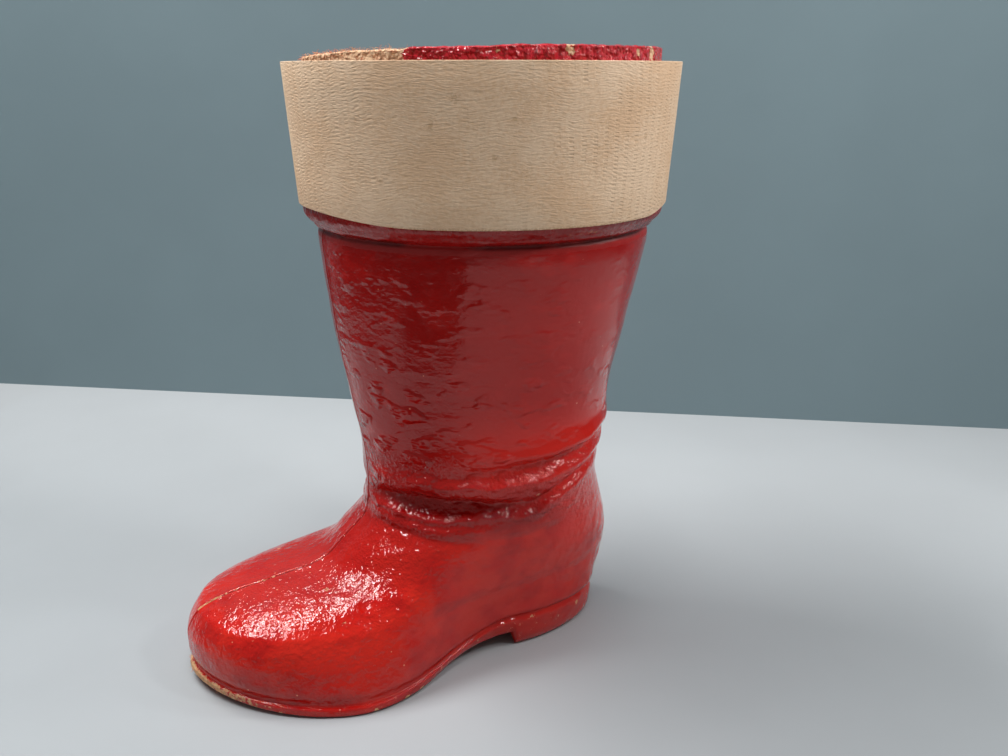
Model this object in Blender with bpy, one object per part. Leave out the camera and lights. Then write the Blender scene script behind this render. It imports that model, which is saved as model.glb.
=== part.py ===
# Moulded paper boot: two glued half shells, seam papers inside and a card cuff.
# Lengths are in millimetres and become metres when a mesh is made. The toe points
# to -X, +Z is up, and the two halves meet on the plane Y = 0.

import bmesh
import bpy
import numpy as np

MM = 0.001

# Driving dimensions
RIM_HEIGHT = 229.4
TOE_REACH = 121.0
CUFF_TOP_RADIUS = 72.4
CUFF_FOOT_RADIUS = 68.5
CUFF_FOOT_HEIGHT = 174.0
CUFF_TOP_HEIGHT = 225.0
CARD_THICKNESS = 0.8
WALL = 2.8
SOLE_WALL = 5.0
FLOOR_THICKNESS = 3.4
SOLE_EDGE = 7.0
WELT_TOP = 16.0
ARCH_LIFT = 5.3
SHANK_START = 45.0
TOE_SPRING = 2.8
SPRING_START = 73.0
HEEL_BREAST = 1.8
HEEL_BREAST_HOLLOW = 3.0
HEEL_BREAST_SLOPE = 1.8
HEEL_BREAST_REACH = 14.0
PAPER_WIDTH = 14.0
PAPER_THICKNESS = 0.6
PAPER_TOP = 224.0
PAPER_END = 3.0
SEAT_GAP = 0.3
LAP_START = 140.0
LAP_LENGTH = 14.0
LAP_RISE = 10.0
LAP_FOOT = 350.0

# The leg's axis stands this far behind the middle of the boot's length.
LEG_X = (TOE_REACH - CUFF_TOP_RADIUS) / 2
SHOULDER_RADIUS = CUFF_FOOT_RADIUS - CARD_THICKNESS - SEAT_GAP
LEG_TOP = 160.0
LEG_TOP_RADIUS = 61.8
NECK = 64.9

# Profiles as (height, size) stations. Reaches are measured from the leg's axis.
SHIN_REACH = [(0, TOE_REACH), (16, TOE_REACH), (26.5, 116.5), (30.5, 108.5),
              (33, 98.2), (35.5, 84), (38, 72), (41, 65.4), (46, 60.4), (58, 49.6), (70, 48.6),
              (82, 49.4), (100, 52.8), (130, 58.2), (LEG_TOP, LEG_TOP_RADIUS)]
CALF_REACH = [(0, 46.3), (16, 48.2), (26, 51), (37, 52.6), (46, 51.6), (58, 48.4),
              (70, 45.6), (82, 47), (92, 49.6), (100, 49.6), (130, 54.9),
              (LEG_TOP, 61.4)]
HALF_WIDTH = [(0, 51.3), (6, 51.1), (16, 47.3), (26, 43.4), (38, 39.3), (46, 39),
              (58, 39.9), (70, 41.6), (82, 43.8), (100, 46.2), (130, 54.2),
              (LEG_TOP, LEG_TOP_RADIUS)]
WIDEST_REACH = [(0, 66), (16, 60), (26, 55), (32, 40), (46, 18), (58, 5), (70, 0)]
TAIL_POWER = [(0, 2.3), (16, 2.6), (32, 2.3), (58, 2)]
NOSE_POWER = [(0, 1.67), (6, 1.75), (16, 2), (28, 2.15), (46, 2.1), (70, 2)]
HEEL_NARROWING = [(0, 0.29), (16, 0.27), (26, 0.18), (38, 0.04), (46, 0)]
HEEL_ONSET = 0.6
WAIST_DEPTH = [(0, 0.19), (16, 0.11), (32, 0.05), (46, 0)]
WAIST_X = -20.0
WAIST_LENGTH = 22.0
NECK_RADIUS = [(LEG_TOP, LEG_TOP_RADIUS), (165.5, LEG_TOP_RADIUS), (166.9, 61.1), (168.5, 63.4),
               (CUFF_FOOT_HEIGHT, SHOULDER_RADIUS), (177, SHOULDER_RADIUS), (181, 66.2),
               (187, NECK), (RIM_HEIGHT, NECK)]
WALL_THICKNESS = [(0, SOLE_WALL), (10, 4.2), (18, WALL), (RIM_HEIGHT, WALL)]

# The sole's edge as (distance from the leg's axis, thickness), and its steps as (level,
# inset), from the tread up past the welt's groove. Levels are those of the thickest edge.
EDGE_THICKNESS = [(-TOE_REACH, 4), (-90, 3.7), (-66, 3.5), (-45, 4.6), (-20, 5), (0, 7.6),
                  (50, 6.2)]
SOLE_STEPS = [(0, 1.8), (0.7, 0.6), (2.2, 0), (5, 0), (6.4, 0.4), (SOLE_EDGE, 1.4),
              (8.2, 1.4), (9.6, 0.5), (12, 0.1)]
UPPER_LEVELS = [16, 20.5, 24.5, 27.5, 29.5, 31, 32.5, 34, 35.5, 37.5, 40, 43, 46.5, 50,
                *np.arange(52.5, 93.5, 2.25), 97, 106, 118, 132, 147, LEG_TOP, 165.5,
                166.9, 168.5, 170.5, 172.3, CUFF_FOOT_HEIGHT, 177, 179, 181, 184, 187, 221,
                RIM_HEIGHT]
LINING_LEVELS = [9, 12, *UPPER_LEVELS]
LINING_CORNER = 1.6
LIFT_FADE_HEIGHT = 30.0
LIFT_FADE_POWER = 1.5
COLUMNS = 22
RUNGS = 3
CUFF_STEP = 5.0
LAP_STEPS = 8
PAPER_SAMPLES = 60
SHARP_ANGLE = 40.0

# Ankle folds: (bearing from the toe, height) at both ends and the middle, relief
# outward and half width. Each fades out over a share of its length at both ends.
FOLDS = [((12, 66.5), (52, 67), (90, 69.5), -4, 3.4),
         ((8, 71.5), (50, 75.5), (82, 79.5), 1, 2.6),
         ((62, 81), (105, 86.5), (166, 90), -2.4, 2.2),
         ((58, 76.5), (98, 80), (140, 88), 1.2, 2.4),
         ((84, 65.5), (112, 75), (150, 85), -2, 1.9),
         ((88, 60.5), (118, 68.5), (160, 78), 0.9, 4),
         ((20, 63.2), (54, 62.4), (90, 66), 1.2, 2),
         ((6, 62.5), (44, 59.3), (86, 59.6), -1.1, 1.7),
         ((8, 55.5), (38, 53.2), (66, 51.5), -0.8, 2)]
FOLD_TAPER = 0.25

# The rim is worn down towards the toe: (bearing, height lost), for each half.
LEFT_RIM_WEAR = [(0, 3.2), (16, 2.4), (30, 1.7), (45, 1.5), (50, 0.9), (68, 0.6), (80, 0)]
RIGHT_RIM_WEAR = [(0, 3.2), (22, 4.1), (40, 2.9), (60, 1.4), (90, 0)]

LACQUER = ((0.42, 0.012, 0.014), 0.25)
CARD = ((0.62, 0.5, 0.36), 0.8)
RAW_PAPER = ((0.5, 0.36, 0.2), 0.9)


def profile(stations, height):
    """Smooth curve through the stations, flat where the sizes turn back."""
    places, sizes = np.array(stations, float).T
    steps = np.diff(places)
    slopes = np.diff(sizes) / steps
    turns_back = slopes[:-1] * slopes[1:] <= 0
    inner = 2 * slopes[:-1] * slopes[1:] / np.where(turns_back, 1, slopes[:-1] + slopes[1:])
    tangents = np.concatenate([slopes[:1], np.where(turns_back, 0, inner), slopes[-1:]])
    height = np.clip(height, places[0], places[-1])
    span = np.clip(np.searchsorted(places, height, side="right") - 1, 0, len(steps) - 1)
    t = (height - places[span]) / steps[span]
    bend = (tangents[span] * (1 - t) - tangents[span + 1] * t) * t * (1 - t) * steps[span]
    return sizes[span] + (sizes[span + 1] - sizes[span]) * ease(t) + bend


def ease(t):
    """Smooth step from 0 to 1."""
    t = np.clip(t, 0, 1)
    return t * t * (3 - 2 * t)


def arch_lift(x):
    """Height of the sole above the ground: the toe's spring, the shank and the heel seat."""
    spring = TOE_SPRING * np.clip((-x - SPRING_START) / (TOE_REACH - SPRING_START), 0, 1) ** 2
    return spring + ARCH_LIFT * ease((x + SHANK_START) / SHANK_START)


def outline(height, turns):
    """Half outline at a height, where turns run from the toe at 0 to the heel at pi."""
    cosine = np.cos(turns)
    if height >= LEG_TOP:
        radius = profile(NECK_RADIUS, height)
        return -radius * cosine, radius * np.sin(turns)
    widest = -profile(WIDEST_REACH, height)
    front = -profile(SHIN_REACH, height) - widest
    back = profile(CALF_REACH, height) - widest
    x = widest + np.where(cosine > 0, front * cosine, -back * cosine)
    power = np.where(cosine > 0, profile(NOSE_POWER, height), profile(TAIL_POWER, height))
    y = profile(HALF_WIDTH, height) * (1 - np.abs(cosine) ** power) ** (1 / power)
    y = y * (1 - profile(HEEL_NARROWING, height) * ease(-cosine / HEEL_ONSET))
    waist = profile(WAIST_DEPTH, height) * np.exp(-(((x - WAIST_X) / WAIST_LENGTH) ** 2))
    return x, y * (1 - waist) * np.sign(np.sin(turns))


def above_tread(height, x):
    """Height above the tread of a level, drawn down where the sole's edge is thin."""
    edge = profile(EDGE_THICKNESS, x)
    if height <= SOLE_EDGE:
        return height * edge / SOLE_EDGE
    share = min((height - SOLE_EDGE) / (WELT_TOP - SOLE_EDGE), 1)
    return height + (edge - SOLE_EDGE) * (1 - share)


def surface(height, turns):
    """Plain outer surface at a height, as points."""
    x, y = outline(height, turns)
    fade = np.clip(1 - (height - SOLE_EDGE) / LIFT_FADE_HEIGHT, 0, 1) ** LIFT_FADE_POWER
    return np.stack([x, y, above_tread(height, x) + arch_lift(x) * fade], axis=1)


def outward(height, turns):
    """Unit normals of the plain outer surface."""
    step = 0.02
    around = surface(height, turns + step) - surface(height, turns - step)
    upward = surface(height + step, turns) - surface(height - step, turns)
    normals = np.cross(upward, around)
    return normals / np.linalg.norm(normals, axis=1, keepdims=True)


def sideways(height, turns):
    """Unit normals of the outline in its own level plane."""
    normals = outward(height, turns)
    normals[:, 2] = 0
    return normals / np.linalg.norm(normals, axis=1, keepdims=True)


def fold_relief(height, turns):
    """Relief of the ankle's folds, outward, in each of the turns."""
    bearing = np.degrees(turns)
    relief = np.zeros(len(turns))
    for first, middle, last, depth, width in FOLDS:
        t = (bearing - first[0]) / (last[0] - first[0])
        m = (middle[0] - first[0]) / (last[0] - first[0])
        crest = first[1] * (t - m) * (t - 1) / m + middle[1] * t * (1 - t) / (m * (1 - m))
        crest = crest + last[1] * t * (t - m) / (1 - m)
        reach = ease(t / FOLD_TAPER) * ease((1 - t) / FOLD_TAPER)
        relief += depth * reach * np.exp(-(((height - crest) / width) ** 2))
    return relief


def skin(height, turns, inset=0.0):
    """Outer surface with its folds, drawn in level by an inset."""
    shift = fold_relief(height, turns) - inset
    return surface(height, turns) + sideways(height, turns) * shift[:, None]


def lining(height, turns, below=0.0):
    """Inner surface of the moulded wall, or one lying a distance further in."""
    depth = profile(WALL_THICKNESS, height) + below
    normals = outward(height, turns) if height < LEG_TOP else sideways(height, turns)
    points = surface(height, turns) - normals * depth
    return points + sideways(height, turns) * fold_relief(height, turns)[:, None]


def columns(breast):
    """Turns of the mesh's columns, with a pair across the heel's breast."""
    widest, back = -WIDEST_REACH[0][1], CALF_REACH[0][1]
    edges = np.array([breast - HEEL_BREAST_SLOPE, breast])
    pair = np.arccos(-(edges - widest) / (back - widest))
    even = np.linspace(0, np.pi, COLUMNS + 1)
    nearest = np.argmin(np.abs(even - pair.mean()))
    return np.sort(np.concatenate([np.delete(even, nearest), pair])), pair[1]


def sole_ring(height, turns, heel_turn, inset):
    """Ring of the sole's edge, which follows the arch but meets the ground at the heel."""
    points = surface(height, turns) - sideways(height, turns) * inset
    x = points[:, 0]
    follows = above_tread(height, x) + arch_lift(x)
    stands = (above_tread(SOLE_EDGE, x) + arch_lift(x)) * height / SOLE_EDGE
    points[:, 2] = np.where(turns < heel_turn, follows, stands)
    return points


def floor_rungs(ring, turns, heel_turn, thickness):
    """Rungs from each point of a half ring to the middle plane, hollowed at the breast."""
    breast = ring[np.searchsorted(turns, heel_turn), 0]
    rungs = []
    for point, turn in zip(ring, turns):
        part = np.linspace(0, 1, RUNGS + 1)
        near = np.clip(1 - abs(point[0] - breast) / HEEL_BREAST_REACH, 0, 1)
        x = point[0] + HEEL_BREAST_HOLLOW * near * (1 - (1 - part) ** 2)
        z = thickness + arch_lift(x) * (turn < heel_turn)
        rungs.append(np.stack([x, point[1] * (1 - part), z], axis=1))
    return rungs


def lining_floor(turns, heel_turn):
    """Half ring round the inside floor."""
    ring = lining(LINING_LEVELS[0], turns)
    ring -= sideways(LINING_LEVELS[0], turns) * LINING_CORNER
    ring[:, 2] = FLOOR_THICKNESS + arch_lift(ring[:, 0]) * (turns < heel_turn)
    return ring


def add_points(mesh, points, side):
    """Vertices of one half, kept half a gap clear of the middle plane."""
    points = np.array(points)
    points[:, 1] = side * np.maximum(points[:, 1], SEAT_GAP / 2)
    points[:, 0] += LEG_X
    return [mesh.verts.new(point) for point in points * MM]


def add_strip(mesh, first, second):
    """Faces between two rows of vertices of the same length."""
    for a, b, c, d in zip(first, first[1:], second[1:], second):
        corners = [v for i, v in enumerate((a, b, c, d)) if v not in (a, b, c, d)[:i]]
        mesh.faces.new(corners)


def add_floor(mesh, ring, rungs, side):
    """Closes a half ring of vertices with rungs that run to the middle plane."""
    rows = []
    for vertex, rung in zip(ring, rungs):
        inner = add_points(mesh, rung[1:], side) if rung[0, 1] > SEAT_GAP / 2 else []
        rows.append([vertex, *inner] if inner else [vertex] * (RUNGS + 1))
    for first, second in zip(rows, rows[1:]):
        add_strip(mesh, first, second)


def wear_rim(ring, turns, wear):
    """Lowers the rim's ring where it is worn."""
    ring[:, 2] -= profile(wear, np.degrees(turns))


def shell(name, side, wear):
    """Half of the moulded boot, open at the top and along the middle plane."""
    mesh = bmesh.new()
    turns, heel_turn = columns(HEEL_BREAST)
    rings = [sole_ring(height, turns, heel_turn, inset) if height <= SOLE_EDGE
             else skin(height, turns, inset) for height, inset in SOLE_STEPS]
    tread = floor_rungs(rings[0], turns, heel_turn, 0)
    rings += [skin(height, turns) for height in UPPER_LEVELS]
    wear_rim(rings[-1], turns, wear)
    outside = [add_points(mesh, ring, side) for ring in rings]
    add_floor(mesh, outside[0], tread, side)

    turns, heel_turn = columns(HEEL_BREAST + HEEL_BREAST_SLOPE + WALL)
    rings = [lining_floor(turns, heel_turn)]
    floor = floor_rungs(rings[0], turns, heel_turn, FLOOR_THICKNESS)
    rings += [lining(height, turns) for height in LINING_LEVELS]
    wear_rim(rings[-1], turns, wear)
    inside = [add_points(mesh, ring, side) for ring in rings]
    add_floor(mesh, inside[0], floor, side)

    for rows in (outside, inside):
        for first, second in zip(rows, rows[1:]):
            add_strip(mesh, first, second)
    add_strip(mesh, outside[-1], inside[-1])
    open_edges = [edge for edge in mesh.edges if edge.is_boundary]
    cut = bmesh.ops.holes_fill(mesh, edges=open_edges, sides=0)["faces"]
    bmesh.ops.triangulate(mesh, faces=cut)
    return finish(name, mesh, LACQUER)


def paper_row(height, turns, below):
    """Points across a seam paper at a height, from one edge to the other."""
    points = lining(height, turns, below)
    points = points[np.argsort(points[:, 1])]
    across = np.linspace(-PAPER_WIDTH / 2, PAPER_WIDTH / 2, 3)
    x = np.interp(np.abs(across), points[:, 1], points[:, 0])
    z = np.interp(np.abs(across), points[:, 1], points[:, 2])
    return np.stack([x, across, z], axis=1)


def wall_paper(name, turns):
    """Seam paper up the wall of the boot, over the given turns of the outline."""
    levels = [height for height in LINING_LEVELS if height < PAPER_TOP] + [PAPER_TOP]
    facing = [paper_row(height, turns, SEAT_GAP) for height in levels]
    bare = [paper_row(height, turns, SEAT_GAP + PAPER_THICKNESS) for height in levels]
    return paper(name, facing, bare)


def floor_paper(name):
    """Seam paper along the floor, from the toe down into the hollow heel."""
    turns, heel_turn = columns(HEEL_BREAST + HEEL_BREAST_SLOPE + WALL)
    ring = lining_floor(turns, heel_turn)
    line = np.array([rung[-1] for rung in floor_rungs(ring, turns, heel_turn, FLOOR_THICKNESS)])
    line = line[:, [0, 2]]
    line = line[(line[:, 0] > line[0, 0] + PAPER_END) & (line[:, 0] < line[-1, 0] - PAPER_END)]
    ahead = np.diff(line, axis=0)
    ahead /= np.linalg.norm(ahead, axis=1, keepdims=True)
    ahead = np.vstack([ahead[:1], ahead, ahead[-1:]])
    along = ahead[:-1] + ahead[1:]
    normal = np.stack([-along[:, 1], along[:, 0]], axis=1)
    normal /= np.linalg.norm(normal, axis=1, keepdims=True)
    square = np.stack([-ahead[1:, 1], ahead[1:, 0]], axis=1)
    normal /= (normal * square).sum(axis=1)[:, None]
    rows = []
    for below in (SEAT_GAP, SEAT_GAP + PAPER_THICKNESS):
        lifted = line + normal * below
        rows.append([np.array([(x, y, z) for y in (-PAPER_WIDTH / 2, PAPER_WIDTH / 2)])
                     for x, z in lifted])
    return paper(name, *rows)


def paper(name, facing, bare):
    """Closed strip between two stacks of rows."""
    mesh = bmesh.new()
    loops = []
    for under, over in zip(facing, bare):
        points = np.concatenate([under, over[::-1]])
        points[:, 0] += LEG_X
        loops.append([mesh.verts.new(point) for point in points * MM])
    for first, second in zip(loops, loops[1:]):
        add_strip(mesh, first + first[:1], second + second[:1])
    mesh.faces.new(loops[0])
    mesh.faces.new(loops[-1])
    return finish(name, mesh, RAW_PAPER)


def cuff_band(name):
    """Conical card strip whose outer end laps over its inner end behind the far side."""
    mesh = bmesh.new()
    end = LAP_START + 360 + LAP_LENGTH
    bearings = np.concatenate([np.arange(LAP_START, LAP_START + LAP_FOOT, CUFF_STEP),
                               np.linspace(LAP_START + LAP_FOOT, end, LAP_STEPS)])
    loops = []
    for bearing in bearings:
        rise = (CARD_THICKNESS + SEAT_GAP) * ease((bearing - LAP_START - LAP_FOOT) / LAP_RISE)
        corners = [(CUFF_FOOT_RADIUS - CARD_THICKNESS, CUFF_FOOT_HEIGHT),
                   (CUFF_FOOT_RADIUS, CUFF_FOOT_HEIGHT), (CUFF_TOP_RADIUS, CUFF_TOP_HEIGHT),
                   (CUFF_TOP_RADIUS - CARD_THICKNESS, CUFF_TOP_HEIGHT)]
        angle = np.radians(bearing)
        loops.append([mesh.verts.new(((LEG_X - (radius + rise) * np.cos(angle)) * MM,
                                      (radius + rise) * np.sin(angle) * MM, height * MM))
                      for radius, height in corners])
    for first, second in zip(loops, loops[1:]):
        add_strip(mesh, first + first[:1], second + second[:1])
    mesh.faces.new(loops[0])
    mesh.faces.new(loops[-1])
    return finish(name, mesh, CARD)


def finish(name, mesh, look):
    """Turns a closed mesh into a smooth shaded object with its own material."""
    bmesh.ops.recalc_face_normals(mesh, faces=mesh.faces)
    data = bpy.data.meshes.new(name)
    mesh.to_mesh(data)
    mesh.free()
    data.shade_smooth()
    data.set_sharp_from_angle(angle=np.radians(SHARP_ANGLE))
    colour, roughness = look
    material = bpy.data.materials.new(name)
    material.use_nodes = True
    shader = material.node_tree.nodes["Principled BSDF"]
    shader.inputs["Base Color"].default_value = (*colour, 1)
    shader.inputs["Roughness"].default_value = roughness
    shader.inputs["Metallic"].default_value = 0
    data.materials.append(material)
    item = bpy.data.objects.new(name, data)
    bpy.context.scene.collection.objects.link(item)
    return item


def main():
    for item in list(bpy.data.objects):
        bpy.data.objects.remove(item)
    boot = bpy.data.objects.new("boot", None)
    bpy.context.scene.collection.objects.link(boot)
    pieces = [shell("left_shell", -1, LEFT_RIM_WEAR),
              shell("right_shell", 1, RIGHT_RIM_WEAR),
              cuff_band("cuff_band"),
              wall_paper("front_seam_paper", np.linspace(0, np.pi / 2, PAPER_SAMPLES)),
              wall_paper("back_seam_paper", np.linspace(np.pi, np.pi / 2, PAPER_SAMPLES)),
              floor_paper("sole_seam_paper")]
    for piece in pieces:
        piece.parent = boot


main()
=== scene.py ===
import math

import bmesh
import bpy
import numpy as np
from mathutils import Matrix, Vector


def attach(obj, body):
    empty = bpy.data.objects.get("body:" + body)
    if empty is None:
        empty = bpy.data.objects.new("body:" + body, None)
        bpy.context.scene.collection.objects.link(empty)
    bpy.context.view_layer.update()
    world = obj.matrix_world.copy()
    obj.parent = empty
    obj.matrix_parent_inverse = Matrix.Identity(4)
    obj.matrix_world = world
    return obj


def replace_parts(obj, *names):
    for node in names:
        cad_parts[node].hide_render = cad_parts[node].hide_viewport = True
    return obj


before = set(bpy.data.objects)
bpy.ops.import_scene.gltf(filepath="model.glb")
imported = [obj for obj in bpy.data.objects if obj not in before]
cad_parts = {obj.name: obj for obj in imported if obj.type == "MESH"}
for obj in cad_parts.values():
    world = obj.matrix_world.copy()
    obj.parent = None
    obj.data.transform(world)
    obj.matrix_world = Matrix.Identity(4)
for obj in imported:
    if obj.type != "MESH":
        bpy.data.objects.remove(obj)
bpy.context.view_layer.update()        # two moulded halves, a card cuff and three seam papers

mm = 0.001
print("frame loaded")


# A socket that takes part in sums. Plain numbers may stand on either side of a sign.
class Wire:
    def __init__(self, tree, socket=None):
        self.tree = tree
        self.socket = socket

    def node(self, kind, settings=None, inputs=None, out=0):
        item = self.tree.nodes.new(kind)
        for key, value in (settings or {}).items():
            setattr(item, key, value)
        for key, value in (inputs or {}).items():
            if isinstance(value, Wire):
                self.tree.links.new(value.socket, item.inputs[key])
            else:
                item.inputs[key].default_value = value
        return Wire(self.tree, item.outputs[out])

    def maths(self, operation, *values):
        return self.node("ShaderNodeMath", {"operation": operation}, dict(enumerate(values)))

    def vector(self, operation, *values, out=0):
        return self.node("ShaderNodeVectorMath", {"operation": operation}, dict(enumerate(values)), out)

    def __add__(self, other):
        return self.maths("ADD", self, other)

    def __sub__(self, other):
        return self.maths("SUBTRACT", self, other)

    def __rsub__(self, other):
        return self.maths("SUBTRACT", other, self)

    def __mul__(self, other):
        return self.maths("MULTIPLY", self, other)

    def __truediv__(self, other):
        return self.maths("DIVIDE", self, other)

    def __rtruediv__(self, other):
        return self.maths("DIVIDE", other, self)

    __radd__ = __add__
    __rmul__ = __mul__

    def size(self):
        return self.maths("ABSOLUTE", self)

    def step(self, low, high, first=0.0, last=1.0):  # smooth step between two values
        return self.node("ShaderNodeMapRange", {"interpolation_type": "SMOOTHSTEP"},
                         {0: self, 1: low, 2: high, 3: first, 4: last})

    def fall(self, low, high):
        return 1 - self.step(low, high)

    def zone(self, start, full, fade, end):
        return self.step(start, full) * self.fall(fade, end)

    def noise(self, size, detail=2.0, rough=0.5, bend=0.0):  # self is a place in millimetres
        return self.node("ShaderNodeTexNoise", None, {"Vector": self, "Scale": 1 / size, "Detail": detail,
                                                      "Roughness": rough, "Distortion": bend})

    def layers(self, noises):  # each with its depth first
        return sum(self.noise(*noise) * depth for depth, *noise in noises)

    def stretched(self, x, y, z):  # a place squeezed so that its pattern grows these times longer
        return self.vector("MULTIPLY", self, (1 / x, 1 / y, 1 / z))

    def scaled(self, size):
        return self.node("ShaderNodeVectorMath", {"operation": "SCALE"}, {0: self, "Scale": size})

    def axes(self):
        apart = self.node("ShaderNodeSeparateXYZ", None, {0: self}).socket.node
        return [Wire(self.tree, socket) for socket in apart.outputs]

    def joined(self, x, y, z):
        return self.node("ShaderNodeCombineXYZ", None, {0: x, 1: y, 2: z})

    def moved(self, offset):
        return self.node("GeometryNodeSetPosition", None, {0: self, "Offset": offset})

    def between(self, first, last):  # colours, mixed by this mask
        return self.node("ShaderNodeMix", {"data_type": "RGBA"}, {0: self, 6: first, 7: last}, out=2)


# Shape of the boot, in millimetres from the leg's axis. Stations are (height, size).
bootForm = {
    "legX": 24.3, "rimHeight": 229.4, "legTop": 160, "soleEdge": 7, "weltTop": 16,
    "edgeThickness": [(-121, 4), (-90, 3.7), (-66, 3.5), (-45, 4.6), (-20, 5), (0, 7.6), (50, 6.2)],
    "archLift": 5.3, "shankStart": 45, "toeReach": 121, "toeSpring": 2.8, "springStart": 73,
    "liftFadeHeight": 30, "liftFadePower": 1.5,
    "breast": 1.8, "breastSlope": 1.8, "breastHollow": 3, "breastReach": 14, "breastWall": 2.8,
    "rimWear": (219, 229), "seamStart": (1, 4),
    "wall": [(0, 5), (10, 4.2), (18, 2.8), (229.4, 2.8)], "floorThickness": 3.4, "liningCorner": 1.6,
    "shinReach": [(0, 121), (16, 121), (26.5, 116.5), (30.5, 108.5), (33, 98.2), (35.5, 84), (38, 72),
                  (41, 65.4), (46, 60.4), (58, 49.6), (70, 48.6), (82, 49.4), (100, 52.8), (130, 58.2),
                  (160, 61.8)],
    "calfReach": [(0, 46.3), (16, 48.2), (26, 51), (37, 52.6), (46, 51.6), (58, 48.4), (70, 45.6),
                  (82, 47), (92, 49.6), (100, 49.6), (130, 54.9), (160, 61.4)],
    "halfWidth": [(0, 51.3), (6, 51.1), (16, 47.3), (26, 43.4), (38, 39.3), (46, 39), (58, 39.9),
                  (70, 41.6), (82, 43.8), (100, 46.2), (130, 54.2), (160, 61.8)],
    "widestReach": [(0, 66), (16, 60), (26, 55), (32, 40), (46, 18), (58, 5), (70, 0)],
    "tailPower": [(0, 2.3), (16, 2.6), (32, 2.3), (58, 2)],
    "nosePower": [(0, 1.67), (6, 1.75), (16, 2), (28, 2.15), (46, 2.1), (70, 2)],
    "heelNarrowing": [(0, 0.29), (16, 0.27), (26, 0.18), (38, 0.04), (46, 0)], "heelOnset": 0.6,
    "waistDepth": [(0, 0.19), (16, 0.11), (32, 0.05), (46, 0)], "waistX": -20, "waistLength": 22,
    "neckRadius": [(160, 61.8), (164, 62), (165.9, 61.8), (166.9, 61.1), (167.7, 62.2), (168.5, 63.4),
                   (169.3, 63.9), (170.2, 64.8), (171.5, 66.2), (173, 67), (174.6, 67.2), (177, 67.2),
                   (181, 66.2), (187, 64.9), (229.4, 64.9)],
    "soleInset": [(0, 1.8), (0.7, 0.6), (2.2, 0), (5, 0), (6.2, 0.3), (7, 1.2), (7.6, 1.5), (8.3, 1.3),
                  (9.6, 0.5), (12, 0.1), (16, 0)],
}
liningBreast = bootForm["breast"] + bootForm["breastSlope"] + bootForm["breastWall"]

# How finely a half is drawn, outside and inside.
halfMesh = {
    "seamSteps": [0, 0.2, 0.45, 0.8, 1.3, 2, 3], "frontColumns": 112, "rearColumns": 84, "rungs": 10,
    "soleRows": [0, 0.15, 0.4, 0.7, 1.1, 1.6, 2.2, 2.9, 3.6, 4.3, 4.9, 5.4, 5.8, 6.2, 6.5, 6.8, 7, 7.2,
                 7.5, 7.8, 8.1, 8.5, 9, 9.6, 10.3, 11.1],
    "rowSteps": [(12, 0.9), (47, 0.55), (97, 1.3), (164, 0.5), (179, 8), (220, 0.45)],
    "insideRows": [(9, 3.5), (47, 1.4), (97, 6), (205, 4)],
    "rimRows": 5, "rimCrown": 0.5, "seamGap": 0.04, "merge": 0.02, "sliver": 0.01, "sharpAngle": 40,
}


def profile(stations, height):
    places, sizes = np.array(stations, float).T
    steps = np.diff(places)
    slopes = np.diff(sizes) / steps
    turnsBack = slopes[:-1] * slopes[1:] <= 0
    inner = 2 * slopes[:-1] * slopes[1:] / np.where(turnsBack, 1, slopes[:-1] + slopes[1:])
    tangents = np.concatenate([slopes[:1], np.where(turnsBack, 0, inner), slopes[-1:]])
    height = np.clip(height, places[0], places[-1])
    span = np.clip(np.searchsorted(places, height, side="right") - 1, 0, len(steps) - 1)
    t = (height - places[span]) / steps[span]
    bend = (tangents[span] * (1 - t) - tangents[span + 1] * t) * t * (1 - t) * steps[span]
    return sizes[span] + (sizes[span + 1] - sizes[span]) * ease(t) + bend


def ease(t):
    t = np.clip(t, 0, 1)
    return t * t * (3 - 2 * t)


def climb(places, start, full):
    return ease((places - start) / (full - start))


def plateau(places, start, full, fade, end):
    return climb(places, start, full) * climb(places, end, fade)


def hump(places, centre, reach):
    return np.exp(-(((places - centre) / reach) ** 2))


def archLift(x):
    f = bootForm
    spring = f["toeSpring"] * np.clip((-x - f["springStart"]) / (f["toeReach"] - f["springStart"]), 0, 1) ** 2
    return spring + f["archLift"] * ease((x + f["shankStart"]) / f["shankStart"])


def outline(height, turns):  # turns run from the toe at 0 to the heel at pi
    f = bootForm
    cosine = np.cos(turns)
    if height >= f["legTop"]:
        radius = profile(f["neckRadius"], height)
        return -radius * cosine, radius * np.sin(turns)
    widest = -profile(f["widestReach"], height)
    front = -profile(f["shinReach"], height) - widest
    back = profile(f["calfReach"], height) - widest
    x = widest + np.where(cosine > 0, front * cosine, -back * cosine)
    power = np.where(cosine > 0, profile(f["nosePower"], height), profile(f["tailPower"], height))
    y = profile(f["halfWidth"], height) * (1 - np.abs(cosine) ** power) ** (1 / power)
    y = y * (1 - profile(f["heelNarrowing"], height) * ease(-cosine / f["heelOnset"]))
    waist = profile(f["waistDepth"], height) * hump(x, f["waistX"], f["waistLength"])
    return x, y * (1 - waist) * np.sign(np.sin(turns))


def aboveTread(height, x):  # drawn down where the sole's edge is thin
    f = bootForm
    edge = profile(f["edgeThickness"], x)
    if height <= f["soleEdge"]:
        return height * edge / f["soleEdge"]
    fade = 1 - (height - f["soleEdge"]) / (f["weltTop"] - f["soleEdge"])
    return height + (edge - f["soleEdge"]) * max(fade, 0)


def surface(height, turns):
    x, y = outline(height, turns)
    fade = np.clip(1 - (height - bootForm["soleEdge"]) / bootForm["liftFadeHeight"], 0, 1)
    return np.stack([x, y, aboveTread(height, x) + archLift(x) * fade ** bootForm["liftFadePower"]], axis=1)


def normals(height, turns, level=False):
    step = 0.02
    around = surface(height, turns + step) - surface(height, turns - step)
    upward = surface(height + step, turns) - surface(height - step, turns)
    across = np.cross(upward, around)
    if level:
        across[:, 2] = 0
    return across / np.linalg.norm(across, axis=1, keepdims=True)


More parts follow.
